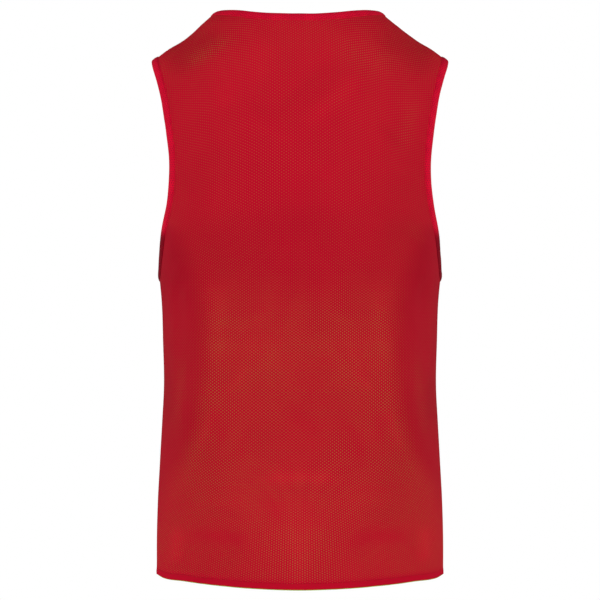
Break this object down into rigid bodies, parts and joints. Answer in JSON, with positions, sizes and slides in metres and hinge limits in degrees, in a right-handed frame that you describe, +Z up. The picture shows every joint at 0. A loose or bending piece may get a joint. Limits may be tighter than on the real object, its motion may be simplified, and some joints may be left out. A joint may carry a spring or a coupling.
{
  "type": "reversible training bib",
  "caption": "Sleeveless two-layer net training bib, red outside and lime inside, with folded binding at the neck and armholes, filled out as worn.",
  "frame": {"origin": "midway between the shoulders, at the height where the straps rest on them", "axes": "+Z up, -Y the way the wearer faces, +X the wearer's left"},
  "size_m": [0.3664, 0.2456, 0.7001],
  "materials": {
    "net_outer": "matt red knitted net with small round holes",
    "net_inner": "matt lime knitted net with small round holes",
    "binding_tape": "slightly brighter red folded knit tape"
  },
  "bodies": {
    "root": {"back_outer": "net_outer", "front_outer": "net_outer", "back_inner": "net_inner", "front_inner": "net_inner", "neck_binding": "binding_tape", "armhole_binding_left": "binding_tape", "armhole_binding_right": "binding_tape"}
  },
  "joints": []
}
